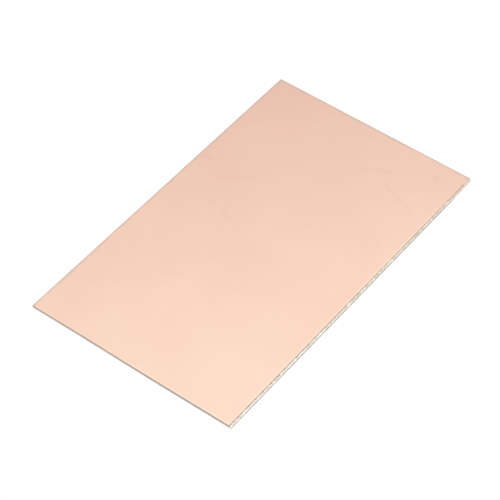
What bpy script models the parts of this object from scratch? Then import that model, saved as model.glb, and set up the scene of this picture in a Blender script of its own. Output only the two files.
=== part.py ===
"""Copper-clad board: a bare sheet of glass-epoxy laminate with copper foil bonded to both faces.

Run it with: blender --background --python part.py

Metres, +Z up. The board lies flat on its underside. The origin is the middle of the overall box,
at the underside. X runs across the board and Y along it. Three of its edges are cut square. The
long edge at +X was sheared: the blade cut a short upright land from above, and below it the sheet
tore along a slope, so the underside reaches further out than the top.
"""

import bmesh
import bpy

BOARD_WIDTH = 0.090          # across the underside, from the square long edge to the sheared toe
BOARD_LENGTH = 0.150         # along the two long edges
BOARD_THICKNESS = 0.0012     # overall, with both foils
FOIL_THICKNESS = 0.000035    # copper of one ounce per square foot
SHEAR_LEAN = 0.00085         # how far the sheared edge slopes out, from the top foil to the toe
SHEAR_LAND = 0.00015         # height of the upright strip that the blade cut, under the top foil

COPPER_COLOUR = "EBC2AC"     # clean, unlacquered copper, a pale salmon in soft light
LAMINATE_COLOUR = "E4DCC4"   # cut glass cloth in epoxy resin, a warm cream

# The bonded faces: the foils and the core share these heights, with nothing between them.
LOWER_BOND = FOIL_THICKNESS
UPPER_BOND = BOARD_THICKNESS - FOIL_THICKNESS

SQUARE_EDGE = -BOARD_WIDTH / 2
SHEARED_TOE = BOARD_WIDTH / 2
SHEARED_TOP = SHEARED_TOE - SHEAR_LEAN


def linear_colour(hex_colour):
    """Turn a six-digit sRGB colour into the linear red, green, blue and alpha that Blender uses."""
    channels = [int(hex_colour[i:i + 2], 16) / 255 for i in (0, 2, 4)]
    linear = [c / 12.92 if c <= 0.04045 else ((c + 0.055) / 1.055) ** 2.4 for c in channels]
    return (*linear, 1.0)


def make_material(name, hex_colour, roughness, metallic):
    """Make a plain surface with one colour, roughness and metallic value."""
    material = bpy.data.materials.new(name)
    material.use_nodes = True
    shader = material.node_tree.nodes["Principled BSDF"]
    shader.inputs["Base Color"].default_value = linear_colour(hex_colour)
    shader.inputs["Roughness"].default_value = roughness
    shader.inputs["Metallic"].default_value = metallic
    return material


def make_layer(name, section, material):
    """Make one closed layer: a section of X and Z points, carried along the board's length."""
    mesh = bpy.data.meshes.new(name)
    bm = bmesh.new()
    end_face = bm.faces.new([bm.verts.new((x, -BOARD_LENGTH / 2, z)) for x, z in section])
    extruded = bmesh.ops.extrude_face_region(bm, geom=[end_face])["geom"]
    far_points = [item for item in extruded if isinstance(item, bmesh.types.BMVert)]
    bmesh.ops.translate(bm, verts=far_points, vec=(0, BOARD_LENGTH, 0))
    bmesh.ops.recalc_face_normals(bm, faces=bm.faces)
    bm.to_mesh(mesh)
    bm.free()
    mesh.materials.append(material)
    layer = bpy.data.objects.new(name, mesh)
    bpy.context.collection.objects.link(layer)
    return layer


def copper_foil_bottom(copper):
    """The lower foil covers the whole underside, out to the toe of the sheared edge."""
    section = [
        (SQUARE_EDGE, 0),
        (SHEARED_TOE, 0),
        (SHEARED_TOE, LOWER_BOND),
        (SQUARE_EDGE, LOWER_BOND),
    ]
    return make_layer("copper_foil_bottom", section, copper)


def glass_epoxy_core(laminate):
    """The laminate between the foils, with the sheared land and slope in its +X edge."""
    section = [
        (SQUARE_EDGE, LOWER_BOND),
        (SHEARED_TOE, LOWER_BOND),
        (SHEARED_TOP, UPPER_BOND - SHEAR_LAND),
        (SHEARED_TOP, UPPER_BOND),
        (SQUARE_EDGE, UPPER_BOND),
    ]
    return make_layer("glass_epoxy_core", section, laminate)


def copper_foil_top(copper):
    """The upper foil ends where the shear blade came down, above the land."""
    section = [
        (SQUARE_EDGE, UPPER_BOND),
        (SHEARED_TOP, UPPER_BOND),
        (SHEARED_TOP, BOARD_THICKNESS),
        (SQUARE_EDGE, BOARD_THICKNESS),
    ]
    return make_layer("copper_foil_top", section, copper)


def main():
    for old in list(bpy.data.objects):
        bpy.data.objects.remove(old)
    copper = make_material("copper_foil", COPPER_COLOUR, roughness=0.42, metallic=1.0)
    laminate = make_material("glass_epoxy_laminate", LAMINATE_COLOUR, roughness=0.6, metallic=0.0)
    copper_foil_bottom(copper)
    glass_epoxy_core(laminate)
    copper_foil_top(copper)


main()
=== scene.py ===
"""Copper-clad board: a bare sheet of woven glass and epoxy with copper foil pressed on both faces.

The board lies flat on a pale floor. Its pieces are worked out again here at the size of the solids,
with what a real blank shows close up: the foil drawn down over the sheared edge, the plies torn in
steps below it, glass strands standing out of the tear, and the fine satin face of the copper.
"""

import bmesh
import bpy
import numpy as np
from bpy.props import FloatProperty, FloatVectorProperty, IntProperty, PointerProperty
from mathutils import Matrix, Vector


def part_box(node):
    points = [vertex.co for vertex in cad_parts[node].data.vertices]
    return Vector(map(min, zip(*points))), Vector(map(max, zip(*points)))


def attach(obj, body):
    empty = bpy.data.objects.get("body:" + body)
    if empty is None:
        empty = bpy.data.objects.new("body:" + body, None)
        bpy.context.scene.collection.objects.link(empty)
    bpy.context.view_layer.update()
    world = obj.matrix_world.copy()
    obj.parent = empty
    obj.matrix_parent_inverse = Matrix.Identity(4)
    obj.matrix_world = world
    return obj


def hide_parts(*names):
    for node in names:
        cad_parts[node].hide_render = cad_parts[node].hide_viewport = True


bl_info = {
    "name": "Copper-clad board",
    "version": (1, 0, 0),
    "blender": (4, 5, 0),
    "location": "3D View > Sidebar > Board",
    "description": "Makes a copper-clad laminate blank, its sheared edge and a plain stage",
    "category": "Object",
}

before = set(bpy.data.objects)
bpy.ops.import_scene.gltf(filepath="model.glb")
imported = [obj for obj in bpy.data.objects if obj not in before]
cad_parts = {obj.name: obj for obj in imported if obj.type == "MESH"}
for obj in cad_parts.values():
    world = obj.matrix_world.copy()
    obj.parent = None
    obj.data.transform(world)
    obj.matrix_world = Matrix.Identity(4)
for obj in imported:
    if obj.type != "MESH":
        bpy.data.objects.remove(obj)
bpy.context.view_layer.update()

MM = 0.001
MICRON = 0.000001

# Where the solids are. X runs across the board, and the sheared edge is the one at +X.
upper_foil_low, upper_foil_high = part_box("copper_foil_top")
lower_foil_low, lower_foil_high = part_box("copper_foil_bottom")
SQUARE_EDGE = upper_foil_low.x
SHEARED_TOP = upper_foil_high.x
SHEARED_TOE = lower_foil_high.x
NEAR_END = upper_foil_low.y
FAR_END = upper_foil_high.y
TOP_FACE = upper_foil_high.z
UPPER_BOND = upper_foil_low.z
LOWER_BOND = lower_foil_high.z
UNDERSIDE = lower_foil_low.z
CORE_DEPTH = UPPER_BOND - LOWER_BOND
BOARD_LENGTH = FAR_END - NEAR_END
TOP_WIDTH = SHEARED_TOP - SQUARE_EDGE

# Faint marks on the upper face: x and y of both ends of a stroke and its half width in mm, then
# how far the mark goes to the marked colour.
HANDLING_MARKS = (
    (-43.1, 22.9, -39.6, 23.5, 1.8, 0.13),
    (-40.1, 18.5, -34.5, 18.1, 3.0, 0.06),
    (-35.1, 18.9, -31.1, 18.0, 1.3, 0.07),
    (-31.1, 18.0, -26.4, 21.3, 1.3, 0.11),
    (-26.4, 21.3, -20.5, 24.2, 1.3, 0.08),
    (-19.5, 9.1, -19.0, 3.6, 2.2, 0.07),
    (-19.0, 3.6, -15.1, 2.1, 2.0, 0.08),
    (-15.1, 2.1, -9.3, -0.5, 2.0, 0.07),
    (9.9, 55.2, 18.7, 59.3, 3.2, 0.08),
    (17.6, 58.7, 18.2, 58.9, 1.8, 0.12),
    (20.2, 53.2, 29.0, 49.1, 1.4, 0.13),
    (29.0, 49.1, 36.8, 46.3, 1.8, 0.08),
    (33.5, 66.8, 33.9, 66.6, 2.0, 0.15),
)


def linear_colour(hex_colour):
    """Turn a six-digit sRGB colour into the linear red, green and blue that Blender uses."""
    channels = [int(hex_colour[i:i + 2], 16) / 255 for i in (0, 2, 4)]
    return tuple(c / 12.92 if c <= 0.04045 else ((c + 0.055) / 1.055) ** 2.4 for c in channels)


def colour_property(name, hex_colour, description):
    """A colour that a user can change, written as the sRGB colour that the eye sees."""
    return FloatVectorProperty(
        name=name, description=description, subtype="COLOR", size=3, min=0, max=1,
        default=linear_colour(hex_colour))


def length_property(name, default, description):
    """A length in metres that a user can change."""
    return FloatProperty(
        name=name, description=description, unit="LENGTH", precision=6, min=0, default=default)


def angle_property(name, degrees, description):
    """An angle that a user can change, written in degrees."""
    return FloatProperty(
        name=name, description=description, subtype="ANGLE", default=np.radians(degrees))


class LaminateSettings(bpy.types.PropertyGroup):
    """The glass cloth and the resin between the foils."""

    plies: IntProperty(
        name="Plies", default=6, min=1, max=40,
        description="Layers of glass cloth pressed together, about 0.19 mm each")
    warp_pitch: length_property(
        "Warp pitch", 0.577 * MM, "Spacing of the yarns that run along the board, 17.3 to the cm")
    weft_pitch: length_property(
        "Weft pitch", 0.787 * MM, "Spacing of the yarns that run across the board, 12.7 to the cm")
    blade_land: length_property(
        "Blade land", 0.15 * MM, "Height of the upright strip that the shear blade cut")
    tear_depth: length_property(
        "Tear depth", 0.055 * MM, "How far a ply's torn edge wanders in and out")
    groove_depth: length_property(
        "Groove depth", 0.012 * MM, "How far the resin lies back between the yarns on a sawn edge")
    bites: IntProperty(
        name="Bites", default=34, min=0, max=200,
        description="Small pieces broken out of the sheared edge")
    broken_length: length_property(
        "Broken length", 14.0 * MM, "Length of toe broken off before the far sheared corner")
    broken_depth: length_property(
        "Broken depth", 0.25 * MM, "How far the toe is broken back there")
    saw_wander: length_property(
        "Saw wander", 0.25 * MM, "How far the saw ran in on the square half of the near end")
    glass_colour: colour_property("Glass", "EAD8CF", "Cut ends of the glass yarns")
    resin_colour: colour_property("Resin", "D6BFA5", "Cured epoxy between the yarns")
    torn_colour: colour_property("Torn", "F5EFE5", "Laminate whitened by tearing")
    stained_colour: colour_property("Stained", "CDC1B2", "Torn laminate where resin shows through")
    dust_colour: colour_property("Dust", "CAB7A8", "Grey dust rubbed into the cut edges")
    seed: IntProperty(name="Seed", default=7, description="Chooses where the tears and bites fall")


class FoilSettings(bpy.types.PropertyGroup):
    """The copper on both faces and its edge along the shear."""

    draw_down: length_property(
        "Draw-down", 0.045 * MM, "How far the blade pulled the upper foil down at its edge")
    draw_width: length_property(
        "Draw width", 0.22 * MM, "How far in from the edge the upper foil starts to bend down")
    lip: length_property(
        "Lip", 0.07 * MM, "How far the upper foil's ragged lip hangs over the cut laminate")
    smear: length_property(
        "Smear", 0.31 * MM, "How far brown dust is dragged down over the cut laminate")
    burr: length_property(
        "Burr", 0.24 * MM, "How far the lower foil stands out past the torn laminate")
    raggedness: length_property(
        "Raggedness", 0.030 * MM, "How far the foil's sheared edge wanders in and out")
    rounding: length_property(
        "Rounding", 0.9 * MM, "How far in the upper foil is rubbed along its square and far edges")
    rounding_drop: length_property(
        "Rounding drop", 0.014 * MM, "How far the rubbed foil falls towards those edges")
    swell: length_property(
        "Swell", 0.006 * MM, "Height of the slow swells in the pressed copper face")
    clean_colour: colour_property("Clean copper", "F4D8C4", "Copper as it left the press")
    # Laid over the copper by the oxide clouds, and by a steady darkening towards the far square
    # corner, which is painted shade.
    oxide_and_shade_colour: colour_property("Dulled copper", "E7C3B1", "Copper under a thin film of oxide")
    # Painted shade: this grey is laid along the rolled square and far edges of the upper foil, in
    # place of the roll's darker reflection.
    rolled_edge_shade_colour: colour_property("Rolled edge shade", "D1BAAF", "Copper rubbed grey along an edge")
    # Painted highlight: this pale colour is laid in lines just inside the near and sheared edges of
    # the upper foil.
    painted_edge_highlight_colour: colour_property("Painted edge highlight", "F6E2D4", "Copper worn pale beside a cut edge")
    marked_colour: colour_property("Marked copper", "D4A898", "Copper browned by handling")
    # Partly painted shade: besides the blade's browning, this colour darkens the upper foil where
    # it bends down to the cut, in place of the bend's darker reflection. It also colours the brown
    # dust on the laminate below.
    rim_colour: colour_property("Rim", "A99B8A", "Upper foil smeared and browned by the blade")
    burr_colour: colour_property("Burr", "A4A39C", "Lower foil's torn rim, grey with glass dust")
    roughness: FloatProperty(
        name="Roughness", default=0.46, min=0, max=1, subtype="FACTOR",
        description="How widely the satin copper spreads a reflection")


class StrandSettings(bpy.types.PropertyGroup):
    """The glass strands that stand out of the torn edge."""

    count: IntProperty(
        name="Count", default=1100, min=0, max=5000, description="Number of strands")
    pale_colour: colour_property("Pale", "F3ECE1", "Dry glass filament")
    nick_colour: colour_property("Nicks", "DDD0BC", "Resin left on the filament")
    longest: length_property("Longest", 0.34 * MM, "Length of the longest strand")
    thickness: length_property(
        "Thickness", 0.024 * MM, "Width of a strand, a few filaments of 9 microns stuck together")
    seed: IntProperty(name="Seed", default=23, description="Chooses where the strands stand")


class StageSettings(bpy.types.PropertyGroup):
    """The floor, the lamps and the camera."""

    floor_colour: colour_property("Floor", "F2F2F2", "Matt white table")
    floor_size: length_property("Floor size", 6.0, "Side of the square floor")
    floor_glow: FloatProperty(
        name="Floor glow", default=0.75, min=0, max=1, subtype="FACTOR",
        description="How far the floor shows the camera plain white in place of its own shading")
    ambient: FloatProperty(
        name="Ambient", default=0.37, min=0, description="Light from all round the table")
    key_power: FloatProperty(
        name="Key power", default=9.5, min=0, subtype="POWER",
        description="Softbox to the right of the board")
    near_power: FloatProperty(
        name="Near power", default=0.17, min=0, subtype="POWER",
        description="Softbox whose glow lies on the near end of the copper")
    azimuth: angle_property(
        "Azimuth", 36.303, "Camera direction, from the near end towards the sheared edge")
    elevation: angle_property("Elevation", 47.605, "Camera height above the table, as an angle")
    roll: angle_property("Roll", 1.084, "Turn of the camera about its own axis")
    distance: length_property("Distance", 0.83156, "From the aim point to the camera")
    aim: FloatVectorProperty(
        name="Aim", size=3, unit="LENGTH", default=(-0.000119, -0.004654, 0.0),
        description="Point on the table in the middle of the picture")
    lens: FloatProperty(
        name="Lens", default=162.44, min=1, description="Focal length in mm on a 36 mm sensor")


class BoardSettings(bpy.types.PropertyGroup):
    """Everything about the board and its stage that a user can change."""

    laminate: PointerProperty(type=LaminateSettings)
    foil: PointerProperty(type=FoilSettings)
    strands: PointerProperty(type=StrandSettings)
    stage: PointerProperty(type=StageSettings)


def ease(part):
    """Go smoothly from 0 to 1 as part does: three times its square less twice its cube."""
    part = np.clip(part, 0.0, 1.0)
    return part * part * (3.0 - 2.0 * part)


def wander(along, wavelength, seed):
    """A smooth random line from -1 to 1: random heights one wavelength apart, eased together.
    Each line on the board has a seed of its own, so that no two run alike."""
    count = 1024
    heights = np.random.default_rng(seed).uniform(-1.0, 1.0, count)
    place = np.asarray(along) / wavelength + count / 2
    knot = np.floor(place).astype(int)
    share = ease(place - knot)
    return heights[knot % count] * (1.0 - share) + heights[(knot + 1) % count] * share


def upper_cut(y, foil):
    """X of the upper foil's sheared edge at each y: a straight cut that wanders in by the
    raggedness."""
    ragged = 0.5 + 0.3 * wander(y, 1.9 * MM, 11) + 0.2 * wander(y, 0.55 * MM, 12)
    return SHEARED_TOP - foil.raggedness * ragged


def draw_down(x, y, foil):
    """How far the blade drew the bonded face down: the square of the way from where the bend
    starts to the cut, times a depth that wanders along the edge."""
    depth = foil.draw_down * (1.0 + 0.35 * wander(y, 2.3 * MM, 14))
    start = upper_cut(y, foil) - foil.draw_width
    return depth * np.clip((x - start) / foil.draw_width, 0.0, 1.0) ** 2


def broken_share(y, laminate, run=0.25):
    """How much of the toe is broken off at each y: 0, eased up to 1 before the far corner over
    the given run of the broken length."""
    start = FAR_END - laminate.broken_length
    return ease((y - start) / (run * laminate.broken_length))


def toe(y, laminate, foil):
    """X of the lower foil's sheared edge: straight but ragged, and broken back at the far end."""
    ragged = 0.5 + 0.3 * wander(y, 1.3 * MM, 61) + 0.2 * wander(y, 0.45 * MM, 62)
    broken = broken_share(y, laminate, run=0.8) * (0.85 + 0.15 * wander(y, 0.9 * MM, 16))
    return SHEARED_TOE - foil.raggedness * ragged - laminate.broken_depth * broken


def lower_reach(y, laminate, foil):
    """X where the torn laminate meets the lower foil: short of the toe by the foil's burr, which
    is gone where the toe is broken off."""
    burr = foil.burr * (1.0 + 0.12 * wander(y, 1.4 * MM, 15))
    return toe(y, laminate, foil) - burr * (1.0 - 0.9 * broken_share(y, laminate))


def smear_depth(y, foil):
    """How far down the cut the blade's brown smear reaches: short dashes of two lengths, deeper on
    the near half, then one deeper patch before the far corner, and less past it."""
    patch_centre = FAR_END - 4.8 * MM
    fading_start = FAR_END - 4.5 * MM
    dashes = 0.8 + 0.4 * wander(y, 0.4 * MM, 17) + 0.25 * wander(y, 1.3 * MM, 18)
    depth = np.maximum(dashes, 0.1) * (1.0 + 0.35 * ease(-y / (30.0 * MM)))
    patch = np.exp(-((y - patch_centre) / (0.8 * MM)) ** 2)
    past_patch = ease((y - fading_start) / (1.5 * MM))
    return foil.smear * (depth * (1.0 - 0.8 * past_patch) + 0.6 * patch)


def follow_saw(points, laminate):
    """Move points in from the near end as the saw ran: by saw_wander on the square side, eased to
    nothing before the sheared side, and by less in proportion towards the far end."""
    across = (SHEARED_TOP - points[..., 0]) / TOP_WIDTH
    along = (FAR_END - points[..., 1]) / BOARD_LENGTH
    points[..., 1] += laminate.saw_wander * ease((across - 0.33) / 0.5) * along
    return points.reshape(-1, 3)


def sheared_face(fall, y, laminate, foil):
    """X of the sheared laminate, where fall goes from 0 at the upper bond to 1 at the lower one.

    It is upright down to the blade's land. Below, each ply steps out on a ledge and then falls
    steeply, its torn line wanders, the yarns that end there bulge, and round bites are gone."""
    rounding_error = 1e-6
    top = upper_cut(y, foil)
    land = laminate.blade_land / CORE_DEPTH
    ply = np.minimum(np.floor(fall * laminate.plies + rounding_error), laminate.plies - 1)
    part = np.clip(fall * laminate.plies - ply, 0.0, 1.0)
    ledge = 1.0 - (1.0 - part) ** 2.6
    way = np.clip((fall - land) / (1.0 - land), 0.0, 1.0)
    stepped = np.clip(((ply + ledge) / laminate.plies - land) / (1.0 - land), 0.0, 1.0)
    outward = (lower_reach(y, laminate, foil) - top) * (0.5 * way + 0.5 * stepped)

    # Each ply reads the random lines somewhere else, so that no two plies tear alike.
    seed = laminate.seed
    lane = y + ply * 37.0 * MM
    torn = 0.6 * wander(lane, 1.7 * MM, seed) + 0.4 * wander(lane, 0.5 * MM, seed + 1)
    yarn = y / laminate.weft_pitch + 0.5 * ply
    bulge = np.cos(np.pi * (yarn - np.round(yarn))) ** 2 * np.sin(np.pi * part)
    pulled = wander(np.round(yarn) + 97.0 * ply, 1.0, seed + 2)
    inner = np.sin(np.pi * way) ** 0.7
    relief = laminate.tear_depth * inner * (torn + 0.9 * bulge * pulled)

    random = np.random.default_rng(seed + 3)
    for _ in range(laminate.bites):
        centre = random.uniform(NEAR_END, FAR_END)
        length = random.uniform(0.25, 1.1) * MM
        level = random.uniform(0.25, 0.85)
        depth = random.uniform(0.5, 2.6) * laminate.tear_depth
        bite = np.exp(-((y - centre) / length) ** 2 - ((way - level) / 0.22) ** 2)
        relief = relief - depth * inner * bite
    furthest = toe(y, laminate, foil) - 0.02 * MM
    return np.minimum(top + np.maximum(outward + relief, 0.0), furthest)


def ring_quads(values):
    """For a grid whose columns close into a ring, the values at the four corners of each quad."""
    beside = np.roll(values, -1, axis=1)
    return np.stack([values[:-1], beside[:-1], beside[1:], values[1:]], axis=-1).reshape(-1, 4)


def ring_faces(rows, columns):
    """Quads between neighbouring rows of a ring of columns, then a flat cap on each end."""
    index = np.arange(rows * columns).reshape(rows, columns)
    return [*ring_quads(index).tolist(), index[0, ::-1].tolist(), index[-1].tolist()]


def add_object(name, data):
    """Put a new object that shows the given mesh, lamp or camera into the scene."""
    item = bpy.data.objects.new(name, data)
    bpy.context.scene.collection.objects.link(item)
    return item


def build_piece(name, points, faces, material, attributes=None, edge_map=None):
    """Turn arrays into a mesh object at the origin, with its faces pointing out, smooth between
    sharp edges. attributes holds a value for each point, and edge_map a UV for each corner."""
    mesh = bpy.data.meshes.new(name)
    mesh.from_pydata(points, [], faces)
    for label, values in (attributes or {}).items():
        layer = mesh.attributes.new(label, "FLOAT", "POINT")
        layer.data.foreach_set("value", np.ravel(values))
    if edge_map is not None:
        uvs = mesh.uv_layers.new(name="cut_edge")
        uvs.data.foreach_set("uv", np.ravel(edge_map))
    shell = bmesh.new()
    shell.from_mesh(mesh)
    bmesh.ops.recalc_face_normals(shell, faces=shell.faces)
    shell.to_mesh(mesh)
    shell.free()
    mesh.shade_smooth()
    mesh.set_sharp_from_angle(angle=np.radians(32.0))
    mesh.materials.append(material)
    mesh.validate()
    return add_object(name, mesh)


def round_the_board(foil):
    """Columns that go round the board: along the near end, up the sheared side, back along the
    far end and down the square side, closer together on the sheared side. For each, the share of
    the way across the board and along it, and whether it is on an end."""
    sheared_step = 0.2 * MM
    sawn_step = 0.4 * MM
    bend_share = foil.draw_width / TOP_WIDTH
    end_run = np.linspace(0.0, 1.0 - bend_share, round(TOP_WIDTH / sawn_step), endpoint=False)
    end_run = np.concatenate([end_run, 1.0 - bend_share * np.array([1.0, 0.67, 0.33])])
    far_run = np.concatenate([[1.0], end_run[:0:-1]])
    sheared_run = np.linspace(0.0, 1.0, round(BOARD_LENGTH / sheared_step), endpoint=False)
    square_run = np.linspace(1.0, 0.0, round(BOARD_LENGTH / sawn_step), endpoint=False)
    runs = (end_run, sheared_run, far_run, square_run)
    across = np.concatenate([end_run, 0.0 * sheared_run + 1.0, far_run, 0.0 * square_run])
    along = np.concatenate([0.0 * end_run, sheared_run, 0.0 * far_run + 1.0, square_run])
    on_end = np.concatenate([np.full(len(run), k % 2 == 0) for k, run in enumerate(runs)])
    return across, along, on_end[None, :]


def resin_back(ply, yarn, to_corner, laminate):
    """How far the resin lies back on a sawn edge: deepest between plies and between yarns, with
    the saw's own unevenness, and eased to nothing at the corners."""
    hollow = 0.6 * (1.0 - np.abs(np.sin(np.pi * ply))) + 0.4 * np.sin(np.pi * yarn) ** 2
    sawn = 0.25 + 0.25 * wander(yarn * laminate.warp_pitch, 0.9 * MM, 31)
    return laminate.groove_depth * (hollow + sawn) * ease(to_corner / (0.3 * MM))


def edge_dust(x, y, on_shear, on_near_end):
    """How dusty the wall is. Dust lies on the last 6 mm of the sheared side, most of it at the
    corner itself, and on the near end from 12 mm left of the middle on, thicker over 26 mm."""
    from_corner = FAR_END - y
    corner_dust = 0.45 * ease(1.5 - from_corner / (4.0 * MM))
    corner_dust = corner_dust + 0.4 * np.exp(-(from_corner / MM) ** 2)
    end_dust = 0.9 * ease((x + 12.0 * MM) / (26.0 * MM))
    return np.maximum(on_shear * corner_dust, on_near_end * end_dust)


def make_laminate(settings):
    """The woven glass laminate: a closed ring of wall round the board, with flat caps under the
    foils. Rows go out over the bend under the upper foil, then down the wall, which is
    sheared_face on the sheared side, and upright less resin_back on a sawn one."""
    laminate, foil = settings.laminate, settings.foil
    fan_length = 2.0 * MM
    across, along, on_end = round_the_board(foil)
    ply_rows = np.array([0.0, 0.12, 0.35, 0.62, 0.86])
    wall = ((np.arange(laminate.plies)[:, None] + ply_rows) / laminate.plies).ravel()
    bend = np.concatenate([[0.0, 0.33, 0.67], np.ones(len(wall) + 1)])[:, None]
    fall = np.concatenate([[0.0, 0.0, 0.0], wall, [1.0]])[:, None]

    inset = 0.02 * MM * (1.0 - bend)
    y = NEAR_END + inset + (BOARD_LENGTH - 2.0 * inset) * along
    left = SQUARE_EDGE + inset
    right = upper_cut(y, foil) - foil.draw_width * (1.0 - bend)
    x_top = left + (right - left) * across
    top = UPPER_BOND - draw_down(x_top, y, foil)
    z = top + (LOWER_BOND - top) * fall
    # The lean of the sheared side fans out over the last stretch of each end.
    fan = np.clip(1.0 - (1.0 - across) * TOP_WIDTH / fan_length, 0.0, 1.0)
    leaned = sheared_face(fall, y, laminate, foil) - upper_cut(y, foil)
    x = x_top + leaned * fan * (fall > 0.0)

    yarns_on_end = x / laminate.warp_pitch
    yarns_on_side = y / laminate.weft_pitch
    ply = fall * laminate.plies + 0.0 * x
    yarn = np.where(on_end, yarns_on_end, yarns_on_side)
    to_corner = np.where(
        on_end, np.minimum(across, 1.0 - across) * TOP_WIDTH,
        np.minimum(along, 1.0 - along) * BOARD_LENGTH)
    back = resin_back(ply, yarn, to_corner, laminate) * (fall > 0.0) * (fall < 1.0)
    y = y + back * on_end * np.where(along < 0.5, 1.0, -1.0)
    x = x + back * ((across == 0.0) & ~on_end)

    points = np.stack([x, y, z + 0.0 * x], axis=-1)
    quad_on_end = np.repeat(on_end, len(fall) - 1, axis=0).reshape(-1, 1)
    quad_yarns = np.where(quad_on_end, ring_quads(yarns_on_end), ring_quads(yarns_on_side))
    quad_map = np.stack([quad_yarns, ring_quads(ply)], axis=-1).reshape(-1, 2)
    edge_map = np.concatenate([quad_map, np.zeros((2 * len(across), 2))])
    on_shear = across == 1.0
    smear = smear_depth(y, foil) / CORE_DEPTH * laminate.plies
    attributes = {
        "sheared": np.broadcast_to(on_shear * 1.0, x.shape),
        "smear": np.broadcast_to(np.where(on_shear, smear, -1.0), x.shape),
        "dust": edge_dust(x, y, on_shear, on_end & (along < 0.5))}
    return build_piece(
        "woven_glass_laminate", follow_saw(points, laminate), ring_faces(*x.shape),
        cut_glass_epoxy(settings), attributes, edge_map)


def stations(spacing):
    """Places along the board, close together at both ends, where the foil's cut rim shows."""
    rim = np.array([0.0, 0.03, 0.10, 0.22]) * MM
    middle = np.arange(NEAR_END + 0.4 * MM, FAR_END - 0.4 * MM, spacing)
    return np.concatenate([NEAR_END + rim, middle, FAR_END - rim[::-1]])[:, None]


def sawn_rim(x, y):
    """How brown the foil is at its sawn edges: 0.35 of the way, falling to 0 within the rim."""
    rim_width = 0.03 * MM
    inward = np.minimum(np.minimum(y - NEAR_END, FAR_END - y), x - SQUARE_EDGE)
    return 0.35 * np.clip(1.0 - inward / rim_width, 0.0, 1.0)


def upper_foil_wear(x, y, bent, on_face, foil):
    """The upper foil's attributes: the rim that the blade browned, darkened further where the foil
    bends down to the cut as painted shade; the band of painted shade along the rolled square and
    far edges; and the lines of painted highlight beside the near and sheared ones."""
    # Partly painted shade: the rim darkens as the foil bends down to the cut, for the blade's
    # browning and the bend's shade together.
    rim_start = 0.46 + 0.10 * np.clip(y / (30.0 * MM), -1.0, 1.0) + 0.08 * wander(y, 0.7 * MM, 57)
    rim = np.maximum(ease((bent - rim_start) / 0.5) * on_face, 1.0 - on_face)
    corner = np.hypot(x - SHEARED_TOP, y - FAR_END)
    rim = np.maximum(rim, 0.8 * np.exp(-(corner / (0.35 * MM)) ** 2))
    rim = np.maximum(rim, sawn_rim(x, y))
    # Painted shade: a grey band along the rolled square and far edges, standing in for the roll's
    # darker reflection.
    inward = np.minimum(x - SQUARE_EDGE, FAR_END - y)
    rolled_shade_width = foil.rounding * (1.1 + 0.25 * wander(x + y, 2.9 * MM, 58))
    rolled_edge_shade = ease((rolled_shade_width - inward) / (0.45 * MM)) * ease(inward / (0.15 * MM))
    rolled_edge_shade = rolled_edge_shade * on_face * (0.85 + 0.25 * wander(x + y, 2.1 * MM, 56))
    # Painted highlight: pale lines just inside the near edge and the sheared edge.
    near_line = np.exp(-((y - NEAR_END - 0.28 * MM) / (0.25 * MM)) ** 2)
    near_line = near_line * (0.3 + 0.5 * ease((x + 15.0 * MM) / (25.0 * MM)))
    sheared_line = np.exp(-((upper_cut(y, foil) - x - 0.5 * MM) / (0.34 * MM)) ** 2)
    sheared_line = 0.45 * sheared_line * ease((64.0 * MM - y) / (16.0 * MM))
    painted_edge_highlight = on_face * np.maximum(near_line, sheared_line)
    return {"rim": rim, "rolled_edge_shade": rolled_edge_shade, "painted_edge_highlight": painted_edge_highlight}


def make_upper_foil(settings):
    """The upper foil: a closed profile carried along the board.

    The profile runs over the copper face, bends down to the cut as draw_down says, hangs over
    the laminate as a ragged lip, and comes back along the bond. The face lies below its solid's
    by slow swells, and the foil is thinned towards the cut."""
    foil = settings.foil
    y = stations(0.25 * MM)
    face = np.array([0.0, 0.03, 0.12, 0.25, 0.5, 0.75, 1.0]) * MM / TOP_WIDTH
    face = np.concatenate([face, np.linspace(0.022, 0.984, 44), [0.988, 0.991, 0.994, 0.997, 1.0]])
    bend_over = np.array([0.15, 0.3, 0.45, 0.6, 0.75, 0.9, 1.0])
    lip_out = np.array([0.006, 0.009, 0.003, 0.0]) * MM
    lip_fall = np.array([0.25, 0.75, 1.0, 0.4])
    bend_under = np.array([1.0, 0.75, 0.5, 0.25])
    bond = np.linspace(1.0, 0.0, 33)
    above = np.zeros(len(face) + len(bend_over))
    below = np.zeros(len(bend_under) + len(bond))

    flat = np.concatenate([face, np.ones(len(bend_over) + len(lip_out) + len(bend_under)), bond])
    bent = np.concatenate([0.0 * face, bend_over, np.ones(len(lip_out)), bend_under, 0.0 * bond])
    on_face = np.concatenate([above + 1.0, 0.0 * lip_out, below])
    out = np.concatenate([above, lip_out, below])
    hang = np.concatenate([above, lip_fall, below])

    cut = upper_cut(y, foil)
    start = cut - foil.draw_width
    x = SQUARE_EDGE + (start - SQUARE_EDGE) * flat + foil.draw_width * bent + out
    swell = wander(x, 31.0 * MM, 51) * wander(y, 43.0 * MM, 52) + wander(x + y, 19.0 * MM, 53)
    held = ease((cut - x) / (3.0 * MM)) * ease((x - SQUARE_EDGE) / (3.0 * MM))
    sink = foil.swell * (0.5 + 0.25 * swell) * held
    thickness = (TOP_FACE - UPPER_BOND) * (1.0 - 0.45 * bent ** 3)
    inward = np.minimum(x - SQUARE_EDGE, FAR_END - y)
    rounded = np.clip(1.0 - inward / foil.rounding, 0.0, 1.0) ** 2
    lip = foil.lip * (0.55 + 0.3 * wander(y, 0.9 * MM, 54) + 0.15 * wander(y, 0.35 * MM, 55))
    top_face = thickness - sink - foil.rounding_drop * rounded
    z = UPPER_BOND - draw_down(x, y, foil) + on_face * top_face - hang * lip

    points = np.stack([x, y + 0.0 * x, z], axis=-1)
    return build_piece(
        "upper_copper_foil", follow_saw(points, settings.laminate), ring_faces(*x.shape),
        satin_copper_foil("satin_copper_foil", settings, foil.rim_colour),
        upper_foil_wear(x, y, bent, on_face, foil))


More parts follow.
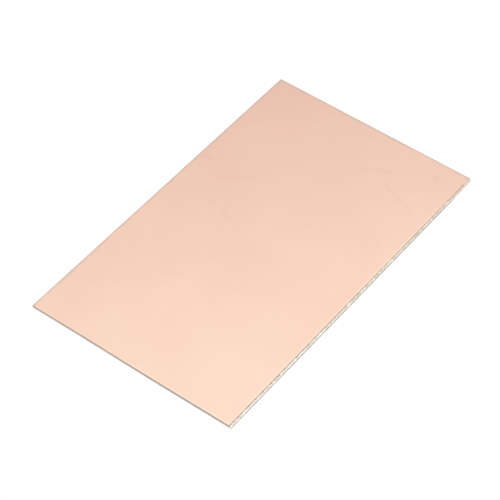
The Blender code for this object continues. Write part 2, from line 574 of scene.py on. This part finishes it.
def make_lower_foil(settings):
    """The lower foil: a closed profile carried along the board.

    It runs along the underside to the toe, where it stands past the laminate as a ragged burr
    that thins and curls up a little, and comes back along the bond."""
    laminate, foil = settings.laminate, settings.foil
    y = stations(0.25 * MM)
    under = np.concatenate([[0.0, 0.0004], np.linspace(0.03, 1.0, 33)])
    burr_under = np.array([0.2, 0.4, 0.6, 0.8, 1.0])
    burr_over = np.array([1.0, 0.85, 0.65, 0.45, 0.25])
    bond = np.linspace(1.0, 0.0, 33)
    flat = np.concatenate([under, np.ones(len(burr_under) + len(burr_over)), bond])
    past = np.concatenate([0.0 * under, burr_under, burr_over, 0.0 * bond])
    over = np.concatenate([0.0 * under, 0.0 * burr_under, 0.0 * burr_over + 1.0, 0.0 * bond + 1.0])

    start = lower_reach(y, laminate, foil) - 0.06 * MM
    x = SQUARE_EDGE + (start - SQUARE_EDGE) * flat + (toe(y, laminate, foil) - start) * past
    curl = 0.03 * MM * (0.5 + 0.5 * wander(y, 1.1 * MM, 63)) * past ** 2
    z = UNDERSIDE + curl + over * (LOWER_BOND - UNDERSIDE) * (1.0 - 0.5 * past ** 2)
    rim = np.maximum(ease(past / 0.2), sawn_rim(x, y))
    points = np.stack([x, y + 0.0 * x, z], axis=-1)
    return build_piece(
        "lower_copper_foil", follow_saw(points, laminate), ring_faces(*x.shape),
        satin_copper_foil("satin_copper_foil_underside", settings, foil.burr_colour), {"rim": rim})


def make_strands(settings):
    """Glass strands that stand out of the torn edge: three-sided tapers, each along a line that
    starts inside the laminate, leans out and down at random and sags as the square of the way."""
    laminate, foil, strands = settings.laminate, settings.foil, settings.strands
    random = np.random.default_rng(strands.seed)
    count = strands.count
    y = random.uniform(NEAR_END + 0.4 * MM, FAR_END - 0.4 * MM, count)
    fall = random.uniform(0.18, 0.97, count)
    x = sheared_face(fall, y, laminate, foil)
    top = UPPER_BOND - draw_down(upper_cut(y, foil), y, foil)
    z = top + (LOWER_BOND - top) * fall
    lean_along = random.normal(0.0, 0.45, count)
    lean_down = random.uniform(-0.75, 0.15, count)
    heading = np.stack([np.ones(count), lean_along, lean_down], axis=-1)
    heading /= np.linalg.norm(heading, axis=-1, keepdims=True)
    length = strands.longest * random.uniform(0.2, 1.0, count) ** 1.5
    length = np.minimum(length, (toe(y, laminate, foil) - 0.012 * MM - x) / heading[:, 0])
    length = np.minimum(length, (z - LOWER_BOND) / np.maximum(0.2 - heading[:, 2], 0.05))
    length = np.maximum(length, 0.02 * MM)

    way = np.array([-0.25, 0.3, 0.7, 1.0])
    root = np.stack([x, y, z], axis=-1)
    bow = np.stack([0.0 * x, random.normal(0.0, 0.12, count), np.full(count, -0.12)], axis=-1)
    reach = heading[:, None] * way[:, None] + bow[:, None] * np.maximum(way, 0.0)[:, None] ** 2
    line = root[:, None] + length[:, None, None] * reach
    sideways = np.cross(heading, (0.0, 0.0, 1.0))
    sideways /= np.linalg.norm(sideways, axis=-1, keepdims=True)
    upright = np.cross(sideways, heading)
    turn = np.radians([90.0, 210.0, 330.0])[:, None]
    ring = np.cos(turn) * sideways[:, None] + np.sin(turn) * upright[:, None]
    radius = strands.thickness / 2.0 * random.uniform(0.5, 1.4, count)
    radius = radius[:, None] * (1.0 - 0.75 * way)
    points = line[:, :, None] + radius[:, :, None, None] * ring[:, None]
    points[..., 2] = np.maximum(points[..., 2], UNDERSIDE + 0.004 * MM)

    index = np.arange(points[..., 0].size).reshape(points.shape[:3])
    beside = np.roll(index, -1, axis=2)
    corners = [index[:, :-1], beside[:, :-1], beside[:, 1:], index[:, 1:]]
    quads = np.stack(corners, axis=-1).reshape(-1, 4)
    faces = [*quads.tolist(), *index[:, 0, ::-1].tolist(), *index[:, -1].tolist()]
    return build_piece(
        "torn_glass_strands", follow_saw(points, laminate), faces, torn_glass_strands(strands))


def add_node(tree, kind, inputs=None, **settings):
    """Add a shader node, set its settings, and set each input to a value or link it to a socket.
    A node given for an input stands for the first of its outputs that is in use, and a colour is
    given as red, green and blue."""
    node = tree.nodes.new("ShaderNode" + kind)
    for label, value in settings.items():
        setattr(node, label, value)
    for label, value in (inputs or {}).items():
        socket = node.inputs[label]
        if isinstance(value, bpy.types.Node):
            value = next(output for output in value.outputs if output.enabled)
        if isinstance(value, bpy.types.NodeSocket):
            tree.links.new(value, socket)
        else:
            socket.default_value = (*value, 1.0) if socket.type == "RGBA" else value
    return node


def new_material(name):
    """A material, its empty node tree, and the place on the object that its patterns follow."""
    material = bpy.data.materials.new(name)
    material.use_nodes = True
    tree = material.node_tree
    tree.nodes.clear()
    return material, tree, add_node(tree, "TexCoord").outputs["Object"]


def lay_coats(tree, colour, coats):
    """The colour of a surface after coats are laid over it in order, each by its share from 0 to
    1. A Mix node's two colours are found by number, because its sockets share their names."""
    under, over = 6, 7
    for share, coat in coats:
        colour = add_node(
            tree, "Mix", {"Factor": share, under: colour, over: coat}, data_type="RGBA")
    return colour


def streaks(tree, place, lengths, detail):
    """Noise drawn out into streaks, whose grain has the given lengths along X, Y and Z."""
    stretched = add_node(tree, "Mapping", {
        "Vector": place, "Scale": [1 / length for length in lengths]})
    return add_node(tree, "TexNoise", {"Vector": stretched, "Scale": 1.0, "Detail": detail})


def handling_marks(tree, place):
    """Strength of the faint marks on the upper face: each is a soft, patchy stroke between two
    points, and fades as the distance from the stroke goes from 0 to its half width."""
    strongest = 0.0
    for x1, y1, x2, y2, half_width, strength in HANDLING_MARKS:
        start = Vector((x1 * MM, y1 * MM, TOP_FACE))
        stroke = Vector(((x2 - x1) * MM, (y2 - y1) * MM, 0.0))
        from_start = add_node(tree, "VectorMath", {0: place, 1: start}, operation="SUBTRACT")
        part = add_node(tree, "VectorMath", {
            0: from_start, 1: stroke / stroke.length_squared}, operation="DOT_PRODUCT")
        part = add_node(tree, "Clamp", {"Value": part})
        foot = add_node(tree, "VectorMath", {0: stroke, "Scale": part}, operation="SCALE")
        away = add_node(tree, "VectorMath", {0: from_start, 1: foot}, operation="DISTANCE")
        fading = add_node(tree, "MapRange", {
            "Value": away, "From Min": half_width * MM, "From Max": 0.0, "To Max": strength},
            interpolation_type="SMOOTHSTEP")
        strongest = add_node(tree, "Math", {0: fading, 1: strongest}, operation="MAXIMUM")
    patches = add_node(tree, "TexNoise", {"Vector": place, "Scale": 1 / (1.5 * MM), "Detail": 2.0})
    patches = add_node(tree, "Math", {0: patches, 1: 2.0}, operation="MULTIPLY")
    return add_node(tree, "Math", {0: strongest, 1: patches}, operation="MULTIPLY")


def cloth_print(tree, place, laminate):
    """How the cloth under the foil shows through it, from -1 to 1: a wave across the warp yarns
    times a wave across the weft yarns."""
    axes = add_node(tree, "SeparateXYZ", {"Vector": place})
    waves = []
    for axis, pitch in (("X", laminate.warp_pitch), ("Y", laminate.weft_pitch)):
        turn = add_node(tree, "Math", {
            0: axes.outputs[axis], 1: np.pi / pitch}, operation="MULTIPLY")
        waves.append(add_node(tree, "Math", {0: turn}, operation="COSINE"))
    return add_node(tree, "Math", {0: waves[0], 1: waves[1]}, operation="MULTIPLY")


def satin_copper_foil(name, settings, rim_colour):
    """Electrodeposited copper foil, pressed under steel plates: a satin metal, pale salmon where it
    is clean. The eye sees one soft even glow, a little duller where a thin film of oxide lies, and
    darker towards the far square corner, which is painted shade. The rim where the blade smeared it
    is browned, and darkened further where the foil bends to the cut, which is painted shade. A grey
    band of painted shade lies along the rolled square and far edges, and pale lines of painted
    highlight lie beside the near and sheared edges. Close up it sees the fine lines of the drum
    that the foil was plated on, and the cloth below as a faint print."""
    foil = settings.foil
    material, tree, place = new_material(name)

    # The film of oxide: clouds 30 mm across. On top of them the colour darkens steadily towards the
    # far square corner, which is painted shade.
    clouds = add_node(tree, "TexNoise", {
        "Vector": place, "Scale": 1 / (30 * MM), "Detail": 4.0, "Roughness": 0.55})
    corner = add_node(tree, "VectorMath", {0: place, 1: (-0.8, 0.6, 0.0)}, operation="DOT_PRODUCT")
    painted_shade_drift = add_node(tree, "MapRange", {"Value": corner, "From Min": -75 * MM, "From Max": 75 * MM})
    oxide_film_and_shade = add_node(tree, "Math", {0: clouds, 1: 0.5, 2: painted_shade_drift}, operation="MULTIPLY_ADD")
    oxide_film_and_shade = add_node(tree, "MapRange", {"Value": oxide_film_and_shade, "From Min": 0.25, "From Max": 1.25})

    # The drum's ground lines are a few microns apart, and are drawn at 0.07 mm to show close up.
    drum_lines = streaks(tree, place, (0.07 * MM, 9 * MM, 1 * MM), detail=3.0)
    grain = add_node(tree, "MapRange", {
        "Value": drum_lines, "From Min": 0.3, "From Max": 0.7, "To Min": 0.03, "To Max": 0.13})
    printed = cloth_print(tree, place, settings.laminate)
    grain = add_node(tree, "Math", {0: printed, 1: 0.03, 2: grain}, operation="MULTIPLY_ADD")

    # The painted shade along the rolled edges, the painted highlight beside the cut edges, and the
    # rim, which is mottled and partly painted shade of the bend.
    painted_edge_highlight, rolled_edge_shade, rim = [
        add_node(tree, "Attribute", attribute_name=label).outputs["Fac"]
        for label in ("painted_edge_highlight", "rolled_edge_shade", "rim")]
    mottle = add_node(tree, "TexNoise", {"Vector": place, "Scale": 1 / (0.35 * MM), "Detail": 3.0})
    mottle = add_node(tree, "Math", {0: mottle, 1: 0.5}, operation="ADD")
    rim = add_node(tree, "Math", {0: rim, 1: mottle}, operation="MULTIPLY", use_clamp=True)
    marks = handling_marks(tree, place)
    colour = lay_coats(tree, foil.clean_colour, [
        (oxide_film_and_shade, foil.oxide_and_shade_colour), (grain, foil.marked_colour), (marks, foil.marked_colour),
        (painted_edge_highlight, foil.painted_edge_highlight_colour), (rolled_edge_shade, foil.rolled_edge_shade_colour), (rim, rim_colour)])

    # Roughness: the satin varies a little with the film, and in long streaks along the board.
    satin = streaks(tree, place, (0.5 * MM, 45 * MM, 1 * MM), detail=2.0)
    satin = add_node(tree, "Math", {0: satin, 1: clouds}, operation="ADD")
    roughness = add_node(tree, "MapRange", {
        "Value": satin, "From Min": 0.5, "From Max": 1.5,
        "To Min": foil.roughness - 0.03, "To Max": foil.roughness + 0.03})
    roughness = add_node(tree, "Math", {0: rim, 1: 0.2, 2: roughness}, operation="MULTIPLY_ADD")

    # Relief: the drum's lines and the cloth's print, little more than a micron deep.
    relief = add_node(tree, "Math", {0: printed, 1: 0.8, 2: drum_lines}, operation="MULTIPLY_ADD")
    bump = add_node(tree, "Bump", {"Height": relief, "Strength": 1.0, "Distance": 1.2 * MICRON})
    shader = add_node(tree, "BsdfPrincipled", {
        "Base Color": colour, "Metallic": 1.0, "Roughness": roughness, "Normal": bump})
    add_node(tree, "OutputMaterial", {"Surface": shader})
    return material


def woven_yarns(tree, across_yarns, down_plies, fray):
    """Where a cut edge is glass rather than resin. Yarns along the edge weave over and under the
    yarns cut end on: a wave in each ply, with lenses between, frayed a little."""
    turn = add_node(tree, "Math", {0: across_yarns, 1: np.pi}, operation="MULTIPLY")
    wave = add_node(tree, "Math", {0: turn}, operation="COSINE")
    in_ply = add_node(tree, "Math", {0: down_plies}, operation="FRACT")
    middle = add_node(tree, "Math", {0: wave, 1: 0.2, 2: 0.5}, operation="MULTIPLY_ADD")
    off_wave = add_node(tree, "Math", {0: in_ply, 1: middle}, operation="SUBTRACT")
    off_wave = add_node(tree, "Math", {0: off_wave}, operation="ABSOLUTE")
    wavy_yarn = add_node(tree, "MapRange", {"Value": off_wave, "From Min": 0.22, "From Max": 0.14})
    lens = add_node(tree, "Math", {0: wave}, operation="ABSOLUTE")
    end_on_yarn = add_node(tree, "MapRange", {
        "Value": lens, "From Min": 0.3, "From Max": 0.6, "To Max": 0.75})
    yarn = add_node(tree, "Math", {0: wavy_yarn, 1: end_on_yarn}, operation="MAXIMUM")
    yarn = add_node(tree, "Math", {0: fray, 1: 0.5, 2: yarn}, operation="MULTIPLY_ADD")
    return add_node(tree, "MapRange", {"Value": yarn, "From Min": 0.15, "From Max": 1.25})


def torn_laminate(tree, place, laminate):
    """Colour of torn laminate: white, with patches where resin shows through, more of them at the
    far end."""
    patches = add_node(tree, "TexNoise", {
        "Vector": place, "Scale": 1 / (1.4 * MM), "Detail": 4.0, "Roughness": 0.7})
    far = add_node(tree, "SeparateXYZ", {"Vector": place}).outputs["Y"]
    far = add_node(tree, "MapRange", {
        "Value": far, "From Min": NEAR_END, "From Max": FAR_END, "To Min": -0.09, "To Max": 0.08})
    patches = add_node(tree, "Math", {0: patches, 1: far}, operation="ADD")
    patches = add_node(tree, "MapRange", {"Value": patches, "From Min": 0.42, "From Max": 0.58})
    return lay_coats(tree, laminate.torn_colour, [(patches, laminate.stained_colour)])


def cut_glass_epoxy(settings):
    """Glass cloth in epoxy, sawn or sheared through: matt and cream. The eye sees the yarns of
    each ply as pale lenses and waves in yellower resin, and whitened fibre where it was torn."""
    laminate, foil = settings.laminate, settings.foil
    material, tree, place = new_material("cut_glass_epoxy")
    edge = add_node(tree, "UVMap", uv_map="cut_edge")
    edge_axes = add_node(tree, "SeparateXYZ", {"Vector": edge}).outputs
    sheared, dusty, smear = [
        add_node(tree, "Attribute", attribute_name=label).outputs["Fac"]
        for label in ("sheared", "dust", "smear")]
    fray = add_node(tree, "TexNoise", {"Vector": place, "Scale": 1 / (0.12 * MM), "Detail": 4.0})
    yarn = woven_yarns(tree, edge_axes["X"], edge_axes["Y"], fray)
    torn_colour = torn_laminate(tree, place, laminate)

    # The saw's teeth left upright lines on a sawn edge, six to a yarn, with dust in them.
    tooth_lines = streaks(tree, edge, (1 / 6, 1 / 0.3, 1.0), detail=2.0)
    tooth_lines = add_node(tree, "MapRange", {
        "Value": tooth_lines, "From Min": 0.35, "From Max": 0.65, "To Max": 0.4})
    sawn_dust = add_node(tree, "MapRange", {"Value": sheared, "To Min": tooth_lines, "To Max": 0.0})

    # Below the land the tear has whitened the glass. Loose dust is thickest between the yarns.
    land = laminate.blade_land / CORE_DEPTH * laminate.plies
    below = add_node(tree, "MapRange", {
        "Value": edge_axes["Y"], "From Min": land, "From Max": land + 0.5, "To Max": 0.85})
    torn = add_node(tree, "Math", {0: sheared, 1: below}, operation="MULTIPLY")
    thickest = add_node(tree, "MapRange", {"Value": yarn, "To Min": 1.1, "To Max": 0.6})
    dust = add_node(tree, "Math", {0: dusty, 1: fray}, operation="MULTIPLY")
    dust = add_node(tree, "MapRange", {"Value": dust, "From Max": 0.6, "To Max": thickest})

    # The blade dragged brown dust down over the land in streaks, as deep as the smear says.
    ragged = streaks(tree, place, (0.4 * MM, 0.09 * MM, 0.6 * MM), detail=4.0)
    depth = add_node(tree, "Math", {0: edge_axes["Y"], 1: smear}, operation="SUBTRACT")
    depth = add_node(tree, "Math", {0: ragged, 1: -1.6, 2: depth}, operation="MULTIPLY_ADD")
    smeared = add_node(tree, "MapRange", {
        "Value": depth, "From Min": -0.4, "From Max": -1.2, "To Max": 0.95})
    colour = lay_coats(tree, laminate.resin_colour, [
        (yarn, laminate.glass_colour), (sawn_dust, laminate.dust_colour), (torn, torn_colour),
        (dust, laminate.dust_colour), (smeared, foil.rim_colour)])

    # Relief: the yarns stand about a hundredth of a millimetre out of the resin, and are frayed.
    relief = add_node(tree, "Math", {0: fray, 1: 0.7, 2: yarn}, operation="MULTIPLY_ADD")
    bump = add_node(tree, "Bump", {"Height": relief, "Strength": 1.0, "Distance": 12 * MICRON})
    shader = add_node(tree, "BsdfPrincipled", {
        "Base Color": colour, "Roughness": 0.62, "IOR": 1.55, "Normal": bump})
    add_node(tree, "OutputMaterial", {"Surface": shader})
    return material


def torn_glass_strands(strands):
    """Bundles of E-glass filament, pulled out dry: silky and nearly white, with darker nicks."""
    material, tree, place = new_material("torn_glass_strands")
    nicks = add_node(tree, "TexNoise", {"Vector": place, "Scale": 1 / (0.05 * MM), "Detail": 3.0})
    colour = lay_coats(tree, strands.nick_colour, [(nicks, strands.pale_colour)])
    shader = add_node(tree, "BsdfPrincipled", {"Base Color": colour, "Roughness": 0.4, "IOR": 1.56})
    add_node(tree, "OutputMaterial", {"Surface": shader})
    return material


def seen_directly(tree):
    """1 for what the camera sees straight, in a reflection or through glass, and 0 for the light
    that reaches a matt surface."""
    light_path = add_node(tree, "LightPath")
    seen = light_path.outputs["Is Camera Ray"]
    for ray in ("Is Glossy Ray", "Is Transmission Ray"):
        seen = add_node(tree, "Math", {0: seen, 1: light_path.outputs[ray]}, operation="MAXIMUM")
    return seen


def matt_white_table(stage):
    """Matt white laminate of a photo table: even and shadow-keeping, and shown to the camera
    mostly as plain white. Its faint mottle is 40 mm across."""
    material, tree, place = new_material("matt_white_table")
    mottle = add_node(tree, "TexNoise", {"Vector": place, "Scale": 1 / (40 * MM), "Detail": 3.0})
    colour = lay_coats(tree, stage.floor_colour, [(mottle, 0.98 * Vector(stage.floor_colour))])
    matt = add_node(tree, "BsdfPrincipled", {"Base Color": colour, "Roughness": 0.9})
    # The glow makes up for the table's own shading, which is a little short of white.
    glow = add_node(tree, "Emission", {"Color": (1.0, 1.0, 1.0), "Strength": 1.08})
    share = add_node(tree, "Math", {
        0: seen_directly(tree), 1: stage.floor_glow}, operation="MULTIPLY")
    shown = add_node(tree, "MixShader", {0: share, 1: matt, 2: glow})
    add_node(tree, "OutputMaterial", {"Surface": shown})
    return material


def make_floor(stage):
    """A flat square of floor just under the board, x and y each from minus to plus half a side."""
    side = np.linspace(-stage.floor_size / 2, stage.floor_size / 2, 3)
    x, y = np.meshgrid(side, side)
    points = np.stack([x, y, np.full_like(x, UNDERSIDE - 0.01 * MM)], axis=-1).reshape(-1, 3)
    index = np.arange(x.size).reshape(x.shape)
    corners = [index[:-1, :-1], index[:-1, 1:], index[1:, 1:], index[1:, :-1]]
    mesh = bpy.data.meshes.new("floor")
    mesh.from_pydata(points, [], np.stack(corners, axis=-1).reshape(-1, 4).tolist())
    mesh.materials.append(matt_white_table(stage))
    return add_object("floor", mesh)


def make_world(stage):
    """Plain white all round: full strength where it is seen, less where it lights the board."""
    world = bpy.data.worlds.new("white_room")
    world.use_nodes = True
    tree = world.node_tree
    tree.nodes.clear()
    strength = add_node(tree, "MapRange", {"Value": seen_directly(tree), "To Min": stage.ambient})
    light = add_node(tree, "Background", {"Color": (1.0, 1.0, 1.0), "Strength": strength})
    add_node(tree, "OutputWorld", {"Surface": light})
    bpy.context.scene.world = world


def add_softbox(name, place, target, side, power, reflected):
    """A square lamp that faces a target. The camera doesn't see it. The copper doesn't either
    where it isn't reflected: there it sees the white room, which is already at full strength."""
    lamp = bpy.data.lights.new(name, "AREA")
    lamp.size = side
    lamp.energy = power
    softbox = add_object(name, lamp)
    facing = (Vector(target) - Vector(place)).to_track_quat("-Z", "Y")
    softbox.matrix_world = Matrix.LocRotScale(Vector(place), facing, None)
    softbox.visible_camera = False
    softbox.visible_glossy = reflected


def add_camera(stage):
    """The camera on its sphere round the aim point, rolled about its own axis."""
    azimuth, elevation, roll = stage.azimuth, stage.elevation, stage.roll
    flat_reach = np.cos(elevation)
    back = Vector((np.sin(azimuth) * flat_reach, -np.cos(azimuth) * flat_reach, np.sin(elevation)))
    level = Vector((0.0, 0.0, 1.0)).cross(back).normalized()
    upright = back.cross(level)
    right = level * np.cos(roll) + upright * np.sin(roll)
    up = upright * np.cos(roll) - level * np.sin(roll)
    camera_data = bpy.data.cameras.new("camera")
    camera_data.sensor_width = 36.0
    camera_data.lens = stage.lens
    camera_data.clip_start = 0.05
    camera_data.clip_end = 20.0
    camera = add_object("camera", camera_data)
    turn = Matrix((right, up, back)).transposed().to_quaternion()
    eye = Vector(stage.aim) + back * stage.distance
    camera.matrix_world = Matrix.LocRotScale(eye, turn, None)
    bpy.context.scene.camera = camera


class BOARD_OT_laminate(bpy.types.Operator):
    """Make the woven glass laminate with its sawn and sheared edges"""

    bl_idname = "copper_board.laminate"
    bl_label = "Laminate"

    def execute(self, context):
        piece = make_laminate(context.scene.copper_board)
        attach(piece, "root")
        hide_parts("glass_epoxy_core")
        return {"FINISHED"}


class BOARD_OT_foils(bpy.types.Operator):
    """Make the copper foil on both faces"""

    bl_idname = "copper_board.foils"
    bl_label = "Copper foils"

    def execute(self, context):
        upper = make_upper_foil(context.scene.copper_board)
        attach(upper, "root")
        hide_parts("copper_foil_top")
        lower = make_lower_foil(context.scene.copper_board)
        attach(lower, "root")
        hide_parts("copper_foil_bottom")
        return {"FINISHED"}


class BOARD_OT_strands(bpy.types.Operator):
    """Make the glass strands that stand out of the sheared edge"""

    bl_idname = "copper_board.strands"
    bl_label = "Torn glass strands"

    def execute(self, context):
        piece = make_strands(context.scene.copper_board)
        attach(piece, "root")
        return {"FINISHED"}


class BOARD_OT_stage(bpy.types.Operator):
    """Make the floor, the soft light round the board and the camera"""

    bl_idname = "copper_board.stage"
    bl_label = "Stage"

    def execute(self, context):
        scene = context.scene
        stage = scene.copper_board.stage
        make_floor(stage)
        make_world(stage)
        add_softbox(
            "key_softbox", place=(0.55, 0.05, 1.0), target=(0.0, 0.0, 0.0), side=0.8,
            power=stage.key_power, reflected=False)
        add_softbox(
            "near_softbox", place=(0.018, 0.0, 0.28), target=(0.0, -0.02, 0.0), side=0.5,
            power=stage.near_power, reflected=True)
        add_camera(stage)
        scene.view_settings.view_transform = "Standard"
        return {"FINISHED"}


class BOARD_PT_panel(bpy.types.Panel):
    """Lists the steps that make the board, and the settings of each"""

    bl_idname = "BOARD_PT_panel"
    bl_label = "Copper-clad board"
    bl_space_type = "VIEW_3D"
    bl_region_type = "UI"
    bl_category = "Board"

    def draw(self, context):
        settings = context.scene.copper_board
        steps = (
            (BOARD_OT_laminate, settings.laminate), (BOARD_OT_foils, settings.foil),
            (BOARD_OT_strands, settings.strands), (BOARD_OT_stage, settings.stage))
        for step, group in steps:
            box = self.layout.box()
            box.operator(step.bl_idname)
            for label in type(group).__annotations__:
                box.prop(group, label)


CLASSES = (
    LaminateSettings, FoilSettings, StrandSettings, StageSettings, BoardSettings,
    BOARD_OT_laminate, BOARD_OT_foils, BOARD_OT_strands, BOARD_OT_stage, BOARD_PT_panel)


def register():
    for item in CLASSES:
        bpy.utils.register_class(item)
    bpy.types.Scene.copper_board = PointerProperty(type=BoardSettings)


def unregister():
    del bpy.types.Scene.copper_board
    for item in reversed(CLASSES):
        bpy.utils.unregister_class(item)


def main():
    """Make the board and its stage."""
    register()
    bpy.ops.copper_board.laminate()
    bpy.ops.copper_board.foils()
    bpy.ops.copper_board.strands()
    bpy.ops.copper_board.stage()


if __name__ == "__main__":
    main()
